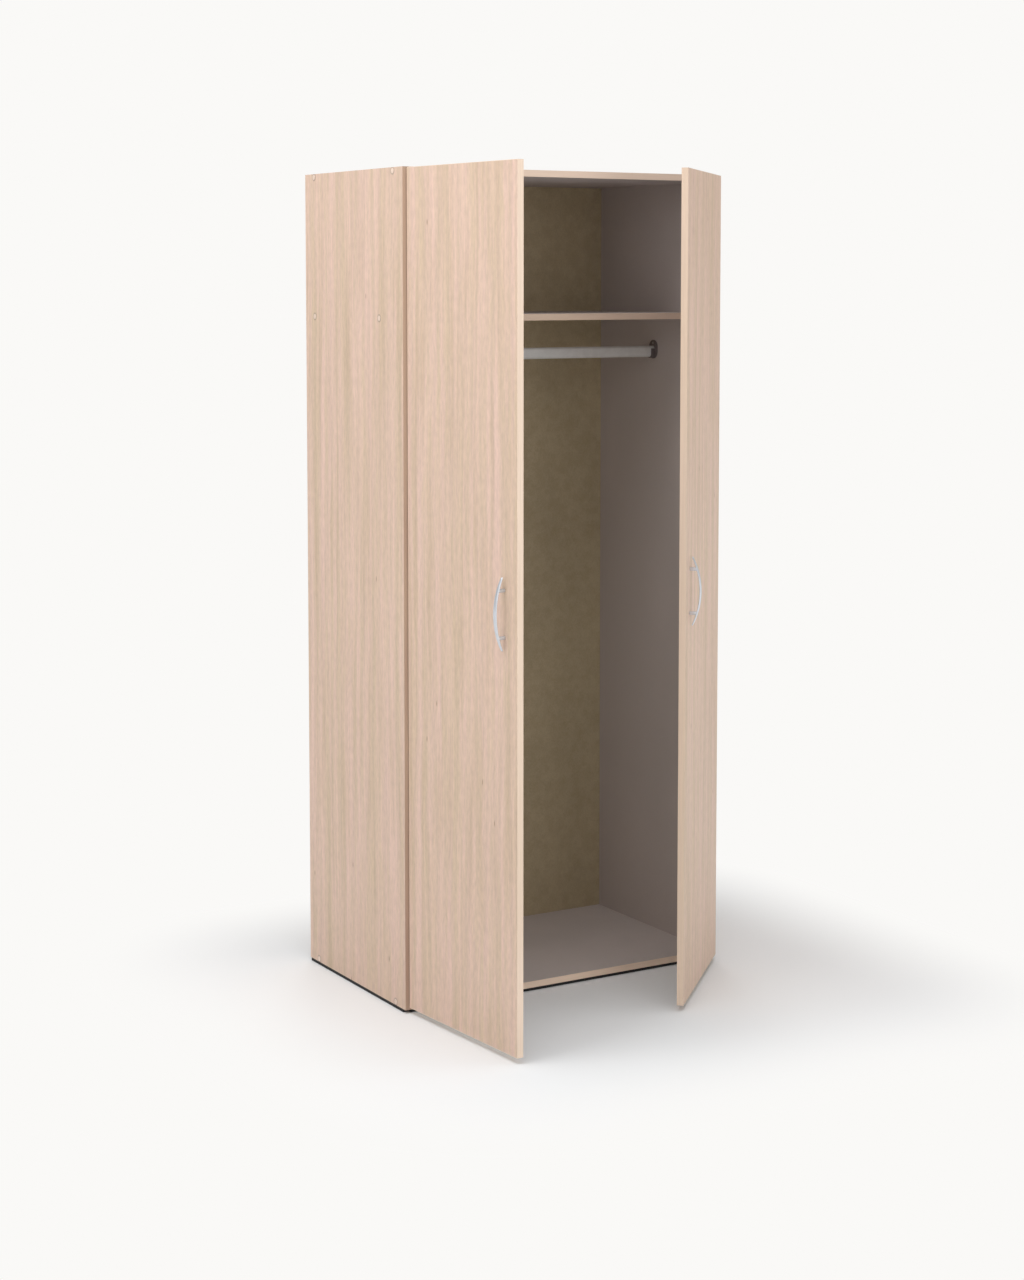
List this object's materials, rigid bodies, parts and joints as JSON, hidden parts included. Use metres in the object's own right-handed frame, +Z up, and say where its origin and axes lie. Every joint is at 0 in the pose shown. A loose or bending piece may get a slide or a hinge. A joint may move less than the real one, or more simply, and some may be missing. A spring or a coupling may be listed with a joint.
{
  "type": "two-door wardrobe",
  "caption": "Tall wardrobe with two hinged doors, a hat compartment over a hanging rail, bowed handles and a thin back panel, shown with both doors open.",
  "frame": {"origin": "on the floor, under the middle of the carcass, at the foot of the middle glide", "axes": "+X to the right across the front, -Y out of the front, +Z up"},
  "size_m": [0.901, 0.9697, 2.008],
  "materials": {
    "melamine_board": "matte wood-look melamine on particle board",
    "edge_band": "matte melamine edge band",
    "door_edge_band": "satin ABS edge band",
    "hardboard": "painted hardboard",
    "rail_metal": "satin grey",
    "rail_support_plastic": "matte dark grey",
    "handle_metal": "satin",
    "glide_plastic": "matte black",
    "bumper_rubber": "translucent grey",
    "hinge_steel": "nickel plated",
    "screw_steel": "zinc plated",
    "screw_cap": "matte, matched to the board"
  },
  "bodies": {
    "carcass": {"back_panel": "hardboard", "back_panel_nails": "screw_steel", "bottom_edge_band": "edge_band", "bottom_panel": "melamine_board", "carcass_screws": "screw_steel", "floor_glides": "glide_plastic", "glide_nails": "screw_steel", "hanging_rail": "rail_metal", "hinge_arm_pins_left": "hinge_steel", "hinge_arm_pins_right": "hinge_steel", "hinge_arms_left": "hinge_steel", "hinge_arms_right": "hinge_steel", "hinge_clamp_screws_left": "hinge_steel", "hinge_clamp_screws_right": "hinge_steel", "hinge_plate_screws_left": "hinge_steel", "hinge_plate_screws_right": "hinge_steel", "hinge_plates_left": "hinge_steel", "hinge_plates_right": "hinge_steel", "rail_support_left": "rail_support_plastic", "rail_support_right": "rail_support_plastic", "rail_support_screws": "screw_steel", "screw_caps": "screw_cap", "shelf_edge_band": "edge_band", "shelf_panel": "melamine_board", "side_edge_band_left": "edge_band", "side_edge_band_right": "edge_band", "side_panel_left": "melamine_board", "side_panel_right": "melamine_board", "top_edge_band": "edge_band", "top_panel": "melamine_board"},
    "left_door": {"door_bumpers_left": "bumper_rubber", "door_edge_bands_left": "door_edge_band", "door_panel_left": "melamine_board", "handle_left": "handle_metal", "handle_screws_left": "screw_steel", "hinge_cup_pins_left": "hinge_steel", "hinge_cup_screws_left": "hinge_steel", "hinge_cups_left": "hinge_steel"},
    "right_door": {"door_bumpers_right": "bumper_rubber", "door_edge_bands_right": "door_edge_band", "door_panel_right": "melamine_board", "handle_right": "handle_metal", "handle_screws_right": "screw_steel", "hinge_cup_pins_right": "hinge_steel", "hinge_cup_screws_right": "hinge_steel", "hinge_cups_right": "hinge_steel"},
    "left_inner_links": {"hinge_inner_links_left": "hinge_steel"},
    "right_inner_links": {"hinge_inner_links_right": "hinge_steel"},
    "left_outer_links": {"hinge_outer_links_left": "hinge_steel"},
    "right_outer_links": {"hinge_outer_links_right": "hinge_steel"}
  },
  "joints": [
    {"name": "left_outer_link_pivot", "type": "hinge", "parent": "carcass", "child": "left_outer_links", "pos_m": [-0.4246, -0.2503, 1.01], "axis": [0, 0, 1], "range_deg": [-34.34, 3.7]},
    {"name": "left_door_hinge", "type": "hinge", "parent": "left_outer_links", "child": "left_door", "pos_m": [-0.42789, -0.27155, 1.01], "axis": [0, 0, -1], "range_deg": [-120.12, 12.88]},
    {"name": "left_inner_link_pivot", "type": "hinge", "parent": "carcass", "child": "left_inner_links", "pos_m": [-0.4164, -0.2594, 1.01], "axis": [0, 0, 1], "range_deg": [-17.18, 1.86]},
    {"name": "right_outer_link_pivot", "type": "hinge", "parent": "carcass", "child": "right_outer_links", "pos_m": [0.4246, -0.2503, 1.01], "axis": [0, 0, -1], "range_deg": [-17.78, 20.26]},
    {"name": "right_door_hinge", "type": "hinge", "parent": "right_outer_links", "child": "right_door", "pos_m": [0.43381, -0.26974, 1.01], "axis": [0, 0, 1], "range_deg": [-62.16, 70.84]},
    {"name": "right_inner_link_pivot", "type": "hinge", "parent": "carcass", "child": "right_inner_links", "pos_m": [0.4164, -0.2594, 1.01], "axis": [0, 0, -1], "range_deg": [-8.9, 10.14]}
  ],
  "couplings": [
    {"joint": "left_outer_link_pivot", "follows": "left_door_hinge", "ratio": 0.28571},
    {"joint": "left_inner_link_pivot", "follows": "left_door_hinge", "ratio": 0.14286},
    {"joint": "right_outer_link_pivot", "follows": "right_door_hinge", "ratio": 0.28571},
    {"joint": "right_inner_link_pivot", "follows": "right_door_hinge", "ratio": 0.14286}
  ]
}
